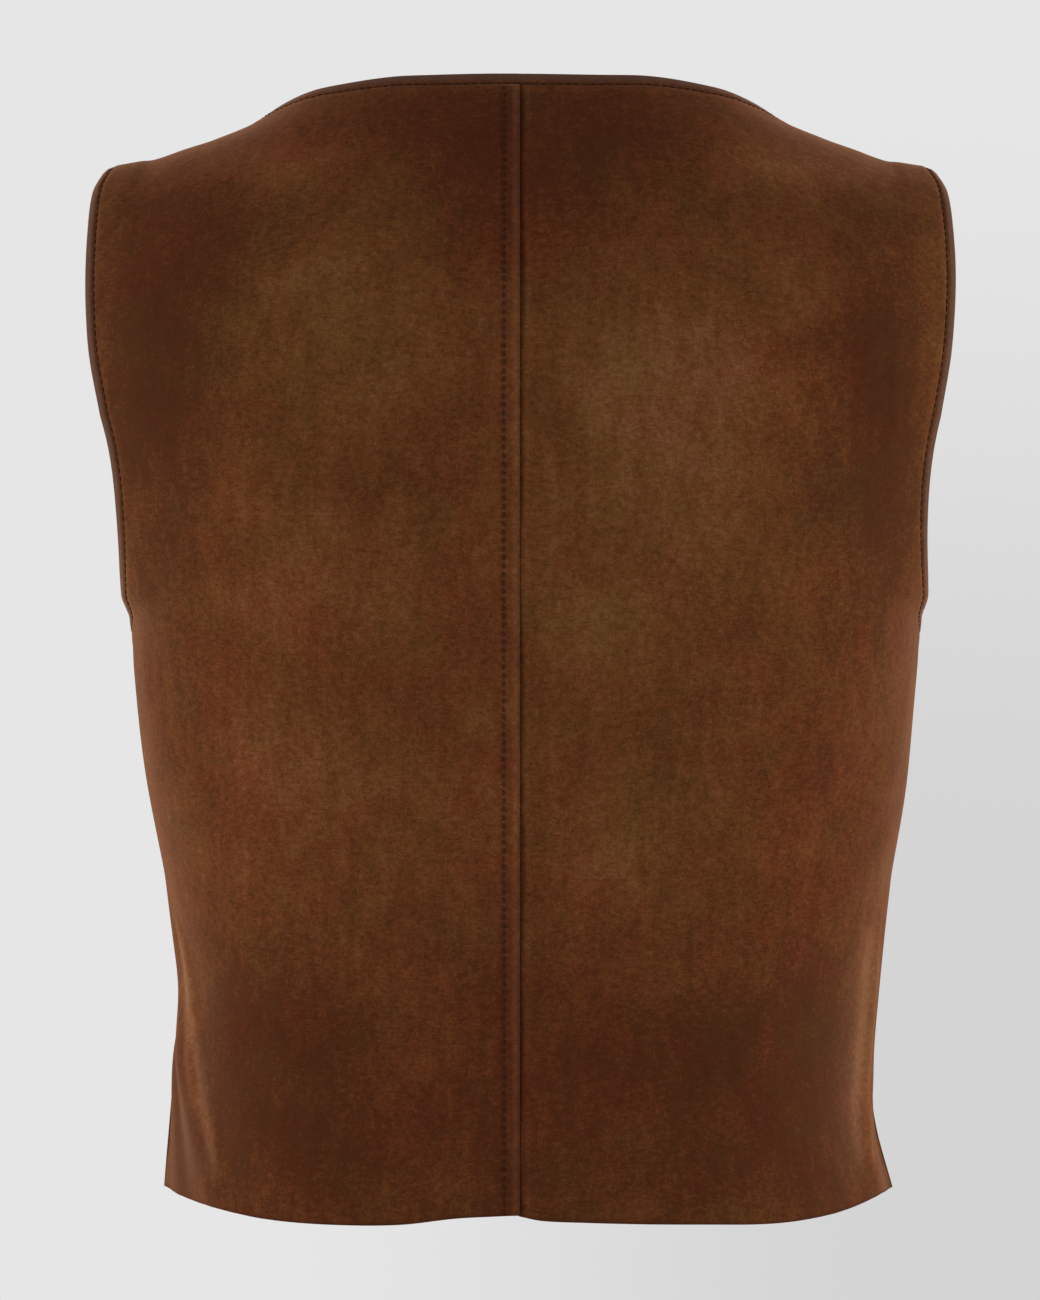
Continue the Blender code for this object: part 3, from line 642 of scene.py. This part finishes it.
def shades(tree, factor, *stops):
    """A colour ramp through stops, each a position and a colour."""
    ramp = add_node(tree, "ShaderNodeValToRGB", {"Fac": factor})
    while len(ramp.color_ramp.elements) < len(stops):
        ramp.color_ramp.elements.new(0.5)
    for element, (position, colour) in zip(ramp.color_ramp.elements, stops):
        element.position = position
        element.color = linear(colour)
    return ramp.outputs["Color"]


def new_material(name, inputs):
    """A material with values for its shader's inputs. Also its node tree and that shader."""
    material = bpy.data.materials.new(name)
    material.use_nodes = True
    shader = material.node_tree.nodes["Principled BSDF"]
    for label, value in inputs.items():
        shader.inputs[label].default_value = value
    return material, material.node_tree, shader


def add_object(name, data):
    """A new object of the scene."""
    made = bpy.data.objects.new(name, data)
    bpy.context.scene.collection.objects.link(made)
    return made


def brushed_suede():
    """Suede: the split side of a hide, dyed brown and brushed. It has no shine, a short nap that
    lies lighter or darker as it is stroked, and a soft glow where it is seen edge-on. Its colour
    also carries
    painted light and shade from the mesh: highlights on crests, sheen on turned edges, shade in
    grooves and seams."""
    material, tree, shader = new_material("brushed_suede", {
        "Roughness": 0.95, "Specular IOR Level": 0.06, "Sheen Weight": 0.70,
        "Sheen Roughness": 0.40, "Sheen Tint": linear("#b58060")})
    place = add_node(tree, "ShaderNodeTexCoord").outputs["Object"]
    # Tone, warmth, edge strip and inner face from the mesh; the tone and the strip carry painted
    # light and shade.
    nap = add_node(tree, "ShaderNodeAttribute", attribute_name="nap", attribute_type="GEOMETRY")
    parts = add_node(tree, "ShaderNodeSeparateColor", {"Color": nap.outputs["Color"]})

    def noise(metres, detail, source=place, roughness=0.55, distortion=0.0):
        return add_node(tree, "ShaderNodeTexNoise",
                        {"Vector": source, "Scale": 1 / metres, "Detail": detail,
                         "Roughness": roughness, "Distortion": distortion}).outputs["Fac"]

    def math_node(operation, first, second):
        return add_node(tree, "ShaderNodeMath",
                        {0: first, 1: second}, operation=operation).outputs[0]

    def swing(source, amount):
        """A noise about its middle, scaled."""
        return math_node("MULTIPLY", math_node("SUBTRACT", source, 0.5), amount)

    # Clouds 45 mm across from stroking, streaks 7 mm by 20 mm from the brush, fine ribs 1.2 mm by
    # 4 mm across it, tufts of 2.8 mm, and grains of nap drawn at 0.9 mm so that they show. Redder
    # and more olive hide changes over in clouds of 30 mm and tufts of 6 mm.
    clouds = noise(0.045, 3, distortion=0.3)
    stroked = add_node(tree, "ShaderNodeMapping",
                       {"Vector": place, "Scale": (1.0, 1.0, 0.35),
                        "Rotation": (0.0, 0.25, 0.0)}).outputs[0]
    streaks = noise(0.007, 3, stroked)
    crossed = add_node(tree, "ShaderNodeMapping",
                       {"Vector": place, "Scale": (0.3, 0.3, 1.0)}).outputs[0]
    ribs = noise(0.0012, 2, crossed)
    grains = noise(0.0009, 2, roughness=0.7)
    tufts = noise(0.0028, 3, roughness=0.6)
    tone = parts.outputs["Red"]
    for source, amount in ((clouds, 0.42), (streaks, 0.40), (ribs, 0.35), (tufts, 0.55),
                           (grains, 0.72)):
        tone = math_node("ADD", tone, swing(source, amount))
    warmth = parts.outputs["Green"]
    for source, amount in ((noise(0.030, 2, distortion=0.4), 1.4), (noise(0.006, 3), 0.9)):
        warmth = math_node("ADD", warmth, swing(source, amount))

    def mix(factor, first, second):
        return add_node(tree, "ShaderNodeMix",
                        {0: factor, 6: first, 7: second}, data_type="RGBA").outputs[2]

    olive = shades(tree, tone, (0.0, "#3b230f"), (0.35, "#442912"), (0.65, "#5c3a1a"),
                   (1.0, "#735030"))
    red = shades(tree, tone, (0.0, "#3d1c0c"), (0.35, "#492210"), (0.65, "#603118"),
                 (1.0, "#794930"))
    cloth = mix(math_node("MAXIMUM", math_node("MINIMUM", warmth, 1.0), 0.0), olive, red)
    # Painted sheen of the turned edges: the strip is mixed towards a paler grey.
    greyed = mix(0.72, cloth, "#57433b")
    cloth = mix(parts.outputs["Blue"], cloth, greyed)
    # Painted highlight on fold crests: mixed unevenly towards a paler pink.
    painted_highlight = add_node(tree, "ShaderNodeAttribute", attribute_name="painted_highlight",
                      attribute_type="GEOMETRY")
    uneven = math_node("ADD", swing(tufts, 1.2), 1.0)
    cloth = mix(math_node("MULTIPLY", painted_highlight.outputs["Fac"], uneven), cloth, "#976a4c")
    flesh = mix(0.4, cloth, "#7a5a40")
    cloth = mix(nap.outputs["Alpha"], cloth, flesh)
    tree.links.new(cloth, shader.inputs["Base Color"])
    relief = math_node("MULTIPLY", math_node("ADD", grains, tufts), 0.5)
    bump = add_node(tree, "ShaderNodeBump",
                    {"Height": relief, "Strength": 0.35, "Distance": 0.0007})
    tree.links.new(bump.outputs["Normal"], shader.inputs["Normal"])
    return material


suede = brushed_suede()
cloth_pieces = {}
sewing_lines = {}
for panel in PANELS:
    made, sewing_lines[panel.name] = suede_panel(panel)
    made.materials.append(suede)
    piece = add_object("suede_" + panel.name, made)
    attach(piece, "root")
    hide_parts(panel.name)
    cloth_pieces[panel.name] = piece


# Stitches.
# Neck, armholes and front edges are turned under and topstitched 7 mm in, and the lapped
# centre-back seam 7.5 mm from its fold, in brown thread with stitches 3.85 mm apart.
STITCH_PITCH = 0.00385
STITCH_LENGTH = 0.0028
THREAD_WIDTH = 0.00080
RAISED = 0.22  # how far a stitch's middle stands out, in thread widths


def twisted_thread():
    """Polyester sewing thread, spun and dyed a darker brown than the suede, with a dull shine."""
    material, tree, shader = new_material("brown_sewing_thread", {
        "Roughness": 0.8, "Specular IOR Level": 0.1})
    place = add_node(tree, "ShaderNodeTexCoord").outputs["Object"]
    # Strands 0.3 mm across.
    strands = add_node(tree, "ShaderNodeTexNoise",
                       {"Vector": place, "Scale": 3300.0, "Detail": 1.0}).outputs["Fac"]
    colour = shades(tree, strands, (0.0, "#261006"), (1.0, "#40200e"))
    tree.links.new(colour, shader.inputs["Base Color"])
    return material


def stitch_nodes():
    """Node tree that lays one stitch on each point, along and out as the point says."""
    tree = bpy.data.node_groups.new("stitches", "GeometryNodeTree")
    for label, way, kind in (
            ("Geometry", "INPUT", "Geometry"), ("Stitch length", "INPUT", "Float"),
            ("Thread width", "INPUT", "Float"), ("Thread", "INPUT", "Material"),
            ("Geometry", "OUTPUT", "Geometry")):
        tree.interface.new_socket(label, in_out=way, socket_type="NodeSocket" + kind)
    given = add_node(tree, "NodeGroupInput").outputs
    size = add_node(tree, "ShaderNodeCombineXYZ",
                    {"X": given["Stitch length"], "Y": given["Thread width"],
                     "Z": given["Thread width"]}).outputs[0]
    bead = add_node(tree, "GeometryNodeMeshUVSphere",
                    {"Segments": 8, "Rings": 6, "Radius": 0.5}).outputs["Mesh"]
    stitch = add_node(tree, "GeometryNodeTransform",
                      {"Geometry": bead, "Scale": size}).outputs["Geometry"]
    smooth = add_node(tree, "GeometryNodeSetShadeSmooth", {"Geometry": stitch}).outputs[0]
    along, outward = (add_node(tree, "GeometryNodeInputNamedAttribute",
                               {"Name": name}, data_type="FLOAT_VECTOR").outputs["Attribute"]
                      for name in ("along", "outward"))
    lie = add_node(tree, "FunctionNodeAlignRotationToVector", {"Vector": along}, axis="X")
    stand = add_node(tree, "FunctionNodeAlignRotationToVector",
                     {"Rotation": lie.outputs[0], "Vector": outward}, axis="Z", pivot_axis="X")
    laid = add_node(tree, "GeometryNodeInstanceOnPoints",
                    {"Points": given["Geometry"], "Instance": smooth,
                     "Rotation": stand.outputs[0]}).outputs[0]
    real = add_node(tree, "GeometryNodeRealizeInstances", {"Geometry": laid}).outputs[0]
    sewn = add_node(tree, "GeometryNodeSetMaterial",
                    {"Geometry": real, "Material": given["Thread"]}).outputs[0]
    add_node(tree, "NodeGroupOutput", {0: sewn})
    return tree


thread = twisted_thread()
stitches = stitch_nodes()
cloth_trees = {}
for name, piece in cloth_pieces.items():
    corners = [vertex.co for vertex in piece.data.vertices]
    faces = [tuple(face.vertices) for face in piece.data.polygons]
    cloth_trees[name] = BVHTree.FromPolygons(corners, faces)


def stitch_places(path, cloth):
    """Points a stitch apart along a line on a cloth, each with its direction and the normal."""
    steps = np.concatenate([[0], np.cumsum(np.linalg.norm(np.diff(path, axis=0), axis=1))])
    count = int(steps[-1] / STITCH_PITCH)
    at = (np.arange(count) + 0.5) * steps[-1] / count
    spots, before, after = (
        np.stack([np.interp(at + ahead, steps, path[:, k]) for k in range(3)], -1)
        for ahead in (0.0, -0.001, 0.001))
    found = []
    for spot, first, last in zip(spots, before, after):
        place, normal, _, _ = cloth.find_nearest(Vector(spot))
        found.append((place, Vector(last - first).normalized(), normal))
    return found


def sewn_row(name, found, length=STITCH_LENGTH, width=THREAD_WIDTH):
    """A row of stitches as one mesh."""
    mesh = bpy.data.meshes.new(name)
    mesh.from_pydata([place + out * width * RAISED for place, _, out in found], [], [])
    for label, column in (("along", 1), ("outward", 2)):
        layer = mesh.attributes.new(label, "FLOAT_VECTOR", "POINT")
        layer.data.foreach_set("vector", np.array([f[column][:] for f in found]).ravel())
    row = add_object(name, mesh)
    modifier = row.modifiers.new("stitches", "NODES")
    modifier.node_group = stitches
    values = {"Stitch length": length, "Thread width": width, "Thread": thread}
    for item in stitches.interface.items_tree:
        if item.in_out == "INPUT" and item.name in values:
            modifier[item.identifier] = values[item.name]
    bpy.context.view_layer.update()
    finished = row.evaluated_get(bpy.context.evaluated_depsgraph_get())
    made = bpy.data.meshes.new_from_object(finished)
    row.modifiers.remove(modifier)
    made.materials.clear()
    made.materials.append(thread)
    row.data = made
    made.name = name
    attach(row, "root")
    return row


for panel in PANELS:
    cloth = cloth_trees[panel.name]
    rows = [sewn_row(edge + "_stitches_" + panel.name, stitch_places(path, cloth))
            for edge, path in sewing_lines[panel.name].items()]


# Buttonholes.
# Five cut across the right front and edged all round with close stitches in the same thread.
# Each starts at its button and runs away from the front edge.
BUTTON_HEIGHTS = [-0.088 - 0.088 * number for number in range(5)]
HOLE_FROM = 0.0020
HOLE_TO = -0.0165
HOLE_EDGE = 0.0013
HOLE_PITCH = 0.00055
HOLE_STITCH = {"length": 0.0022, "width": 0.00062}
SLIT_GAPE = 0.00035
SLIT_LIFT = 0.00012


def front_spot(out, height):
    """Point and normal of the right front's outer face."""
    place, normal, _, _ = cloth_trees["front_right"].ray_cast(Vector((out, -0.3, height)),
                                                              Vector((0.0, 1.0, 0.0)))
    return place, normal


# The dark inside of a cut buttonhole, where hardly any light gets in.
hole_shade, _, _ = new_material("cut_suede_in_shade", {
    "Base Color": linear("#120a06"), "Roughness": 1.0, "Specular IOR Level": 0.0})
for number, height in enumerate(BUTTON_HEIGHTS, 1):
    found = []
    for side in (-1, 1):
        for out in np.arange(HOLE_TO, HOLE_FROM, HOLE_PITCH):
            place, normal = front_spot(out, height + side * HOLE_EDGE)
            found.append((place, Vector((0.0, 0.0, 1.0)), normal))
    for turn in np.radians(np.arange(-75, 76, 25)):
        lean = Vector((-math.cos(turn), 0.0, math.sin(turn)))
        place, normal = front_spot(HOLE_TO + lean.x * HOLE_EDGE, height + lean.z * HOLE_EDGE)
        found.append((place, lean, normal))
    sewn_row("buttonhole_%d" % number, found, **HOLE_STITCH)
    lips = []
    for out in np.linspace(HOLE_TO, HOLE_FROM, 12):
        from_middle = (out - HOLE_TO) / (HOLE_FROM - HOLE_TO) * 2 - 1
        gape = SLIT_GAPE * math.sqrt(max(0.0, 1 - from_middle ** 2))
        for side in (-1, 1):
            place, normal = front_spot(out, height + side * (gape + 0.00005))
            lips.append(place + normal * SLIT_LIFT)
    slit_mesh = bpy.data.meshes.new("buttonhole_slit_%d" % number)
    slit_mesh.from_pydata(lips, [], [(2 * i, 2 * i + 2, 2 * i + 3, 2 * i + 1) for i in range(11)])
    slit_mesh.materials.append(hole_shade)
    slit = add_object(slit_mesh.name, slit_mesh)
    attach(slit, "root")


# Buttons.
# Five turned buttons 17 mm across, in dark brown horn or a moulded copy of it, with a rim, a
# dished middle and four holes, sewn on with crossed threads.
BUTTON_RADIUS = 0.0085
BUTTON_THICKNESS = 0.0032
BUTTON_GAP = 0.0004
BUTTON_PROFILE = (
    (0.00, 0.60), (0.30, 0.61), (0.48, 0.63), (0.58, 0.68), (0.66, 0.80), (0.71, 0.93),
    (0.76, 0.99), (0.82, 1.00), (0.90, 0.97), (0.96, 0.88), (0.99, 0.74), (1.00, 0.55),
    (0.99, 0.38), (0.95, 0.20), (0.88, 0.06), (0.80, 0.00), (0.00, 0.00),
)
HOLE_RADIUS = 0.0010
HOLES_APART = 0.0034
STRANDS_APART = 0.00038
DISH_HEIGHT = 0.61  # of the dished middle, in button thicknesses
BUTTON_STRAND = {"length": 0.0054, "width": 0.00048}
RIGHTWARD = Vector((1.0, 0.0, 0.0))


def turned_horn():
    """Horn: brown, polished by turning, with paler streaks along its grain under the gloss."""
    material, tree, shader = new_material("turned_horn", {"IOR": 1.54, "Roughness": 0.32})
    place = add_node(tree, "ShaderNodeTexCoord").outputs["Object"]
    grain = add_node(tree, "ShaderNodeMapping",
                     {"Vector": place, "Scale": (1.0, 1.0, 4.0),
                      "Rotation": (0.0, 0.6, 0.0)}).outputs[0]
    # Streaks about 1.5 mm across.
    streaks = add_node(tree, "ShaderNodeTexNoise",
                       {"Vector": grain, "Scale": 260.0, "Detail": 4.0,
                        "Distortion": 0.8}).outputs["Fac"]
    colour = shades(tree, streaks, (0.3, "#1c0f09"), (0.75, "#54321c"))
    tree.links.new(colour, shader.inputs["Base Color"])
    return material


def button_mesh():
    """Turn the profile and drill the four holes."""
    profile = bpy.data.meshes.new("button_profile")
    points = [(out * BUTTON_RADIUS, 0.0, up * BUTTON_THICKNESS) for out, up in BUTTON_PROFILE]
    profile.from_pydata(points, [(i, i + 1) for i in range(len(points) - 1)], [])
    turned = add_object("button_profile", profile)
    screw = turned.modifiers.new("turn", "SCREW")
    screw.steps = screw.render_steps = 56
    screw.use_merge_vertices = True
    screw.merge_threshold = 0.00002
    drills = []
    for across, up in ((-1, -1), (-1, 1), (1, -1), (1, 1)):
        drill_mesh = bpy.data.meshes.new("button_drill")
        drill = bmesh.new()
        bmesh.ops.create_cone(drill, cap_ends=True, segments=20, radius1=HOLE_RADIUS,
                              radius2=HOLE_RADIUS, depth=BUTTON_THICKNESS * 3)
        bmesh.ops.translate(drill, verts=drill.verts,
                            vec=(across * HOLES_APART / 2, up * HOLES_APART / 2, 0.0015))
        drill.to_mesh(drill_mesh)
        drill.free()
        cutter = add_object("button_drill", drill_mesh)
        cut = turned.modifiers.new("hole", "BOOLEAN")
        cut.operation = "DIFFERENCE"
        cut.object = cutter
        drills.append(cutter)
    bpy.context.view_layer.update()
    mesh = bpy.data.meshes.new_from_object(
        turned.evaluated_get(bpy.context.evaluated_depsgraph_get()))
    for used in drills + [turned]:
        bpy.data.objects.remove(used)
    mesh.shade_smooth()
    mesh.set_sharp_from_angle(angle=math.radians(45))
    return mesh


horn = turned_horn()
turned_button = button_mesh()
turned_button.materials.clear()
turned_button.materials.append(horn)
for number, height in enumerate(BUTTON_HEIGHTS, 1):
    low, _ = front_spot(0.0, height - 0.004)
    high, _ = front_spot(0.0, height + 0.004)
    seat, _ = front_spot(0.0, height)
    up = (high - low).normalized()
    outward = RIGHTWARD.cross(up)
    turn = Matrix((RIGHTWARD, up, outward)).transposed().to_4x4()
    stand = Matrix.Translation(seat + outward * BUTTON_GAP) @ turn
    mesh = turned_button.copy()
    mesh.transform(stand)
    mesh.name = "horn_button_%d" % number
    button = add_object(mesh.name, mesh)
    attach(button, "root")
    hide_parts("button_%d" % number)
    strands = []
    for slant in (-1, 1):
        lie = (stand.to_3x3() @ Vector((1.0, slant, 0.0))).normalized()
        beside = outward.cross(lie)
        for strand in (-1, 0, 1):
            rise = BUTTON_THICKNESS * DISH_HEIGHT + 0.0001 * (slant + 1)
            top = stand @ Vector((0.0, 0.0, rise))
            strands.append((top + beside * STRANDS_APART * strand, lie, outward))
    sewn_row("button_thread_%d" % number, strands, **BUTTON_STRAND)


# Floor, light and camera.
# A pale floor well below the hem and a pale backdrop, two broad soft lights at the sides and two
# weaker ones beyond the fronts, and a level camera at the photograph's distance.
CAMERA_DISTANCE = 1.965
CAMERA_HEIGHT = -0.240
CAMERA_LENS = 112.18
FLOOR_HEIGHT = -1.15
FLOOR_RADIUS = 2.6
VEST_MIDDLE = Vector((0.0, 0.0, -0.25))

floor_mesh = bpy.data.meshes.new("studio_floor")
ring = bmesh.new()
bmesh.ops.create_circle(ring, cap_ends=True, segments=96, radius=FLOOR_RADIUS)
bmesh.ops.translate(ring, verts=ring.verts, vec=(0.0, 0.0, FLOOR_HEIGHT))
ring.to_mesh(floor_mesh)
ring.free()
floor = add_object("studio_floor", floor_mesh)
paper, paper_tree, paper_shader = new_material("pale_backdrop_paper", {
    "Base Color": linear("#dcdcdc"), "Roughness": 0.9, "Emission Color": linear("#ffffff")})
# A glow of its own, so that the floor looks pale all over but throws little light upwards.
floor_ray = add_node(paper_tree, "ShaderNodeLightPath")
glow = add_node(paper_tree, "ShaderNodeMath",
                {0: floor_ray.outputs["Is Camera Ray"], 1: 0.24, 2: 0.12},
                operation="MULTIPLY_ADD")
paper_tree.links.new(glow.outputs[0], paper_shader.inputs["Emission Strength"])
floor_mesh.materials.append(paper)

world = bpy.data.worlds.new("studio")
world.use_nodes = True
bpy.context.scene.world = world
tree = world.node_tree
seen = tree.nodes["Background"]
# Painted shade: the backdrop paper gets a little darker towards the lower right.
direction = add_node(tree, "ShaderNodeSeparateXYZ",
                     {"Vector": add_node(tree, "ShaderNodeTexCoord").outputs["Generated"]})
rightward, downward = (
    add_node(tree, "ShaderNodeMapRange", {"Value": direction.outputs[axis], 1: start, 2: end},
             interpolation_type="SMOOTHSTEP").outputs[0]
    for axis, start, end in (("X", 0.070, -0.095), ("Z", 0.150, -0.060)))
fall = add_node(tree, "ShaderNodeMath", {0: rightward, 1: downward}, operation="MULTIPLY")
paper_tone = shades(tree, fall.outputs[0], (0.0, "#e6e6e6"), (1.0, "#d4d4d4"))
tree.links.new(paper_tone, seen.inputs["Color"])
lit = add_node(tree, "ShaderNodeBackground", {"Color": (1.0, 1.0, 1.0, 1.0), "Strength": 0.24})
ray = add_node(tree, "ShaderNodeLightPath")
both = add_node(tree, "ShaderNodeMixShader",
                {"Fac": ray.outputs["Is Camera Ray"], 1: lit.outputs[0], 2: seen.outputs[0]})
tree.links.new(both.outputs[0], tree.nodes["World Output"].inputs["Surface"])


def softbox(name, place, width, height, watts):
    """A rectangular area light that points at the middle of the vest."""
    light = bpy.data.lights.new(name, "AREA")
    light.shape = "RECTANGLE"
    light.size = width
    light.size_y = height
    light.energy = watts
    lamp = add_object(name, light)
    lamp.location = place
    lamp.rotation_euler = (VEST_MIDDLE - Vector(place)).to_track_quat("-Z", "Y").to_euler()


for name, out, back, up, width, height, watts in (
        ("soft_light_", 1.95, 0.60, -0.15, 1.0, 1.8, 40.0),
        ("soft_light_behind_", 1.30, -1.30, 0.20, 0.9, 1.6, 12.0)):
    for side, hand in (("left", 1), ("right", -1)):
        softbox(name + side, (out * hand, back, up), width, height, watts)

camera = add_object("camera", bpy.data.cameras.new("camera"))
camera.location = (0.0, CAMERA_DISTANCE, CAMERA_HEIGHT)
camera.rotation_euler = (math.pi / 2, 0.0, math.pi)
camera.data.lens = CAMERA_LENS
camera.data.sensor_width = 36.0
bpy.context.scene.camera = camera
bpy.context.scene.view_settings.view_transform = "Standard"
